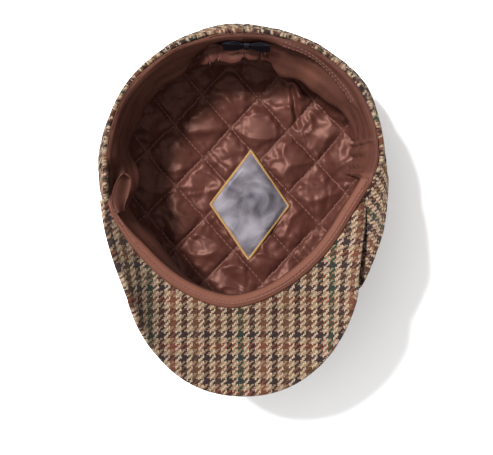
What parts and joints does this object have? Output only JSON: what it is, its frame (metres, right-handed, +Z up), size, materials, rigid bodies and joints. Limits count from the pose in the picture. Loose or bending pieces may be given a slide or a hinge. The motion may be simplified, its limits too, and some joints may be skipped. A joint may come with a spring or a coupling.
{
  "type": "baker boy cap",
  "caption": "Checked tweed baker boy cap with panelled crown, bent peak, satin sweatband, quilted lining and diamond label, lying upside down.",
  "frame": {"origin": "on the floor, below the middle of the cap as it lies on its crown", "axes": "+Z up out of the head opening, +Y to the back of the cap, peak towards -Y"},
  "size_m": [0.2036, 0.2568, 0.1039],
  "materials": {
    "tweed": "checked wool tweed, matt and slightly hairy",
    "satin": "brown satin, glossy",
    "sweatband_cloth": "close woven brown cloth, soft sheen",
    "label_satin": "grey satin with a gold stitched edge",
    "ribbon": "dark grosgrain ribbon"
  },
  "bodies": {
    "root": {"crown_panel_1": "tweed", "crown_panel_2": "tweed", "crown_panel_3": "tweed", "crown_panel_4": "tweed", "crown_panel_5": "tweed", "crown_panel_6": "tweed", "crown_panel_7": "tweed", "crown_panel_8": "tweed", "button": "tweed", "headband": "tweed", "peak": "tweed", "sweatband": "sweatband_cloth", "lining": "satin", "label": "label_satin", "back_bow": "ribbon"}
  },
  "joints": []
}
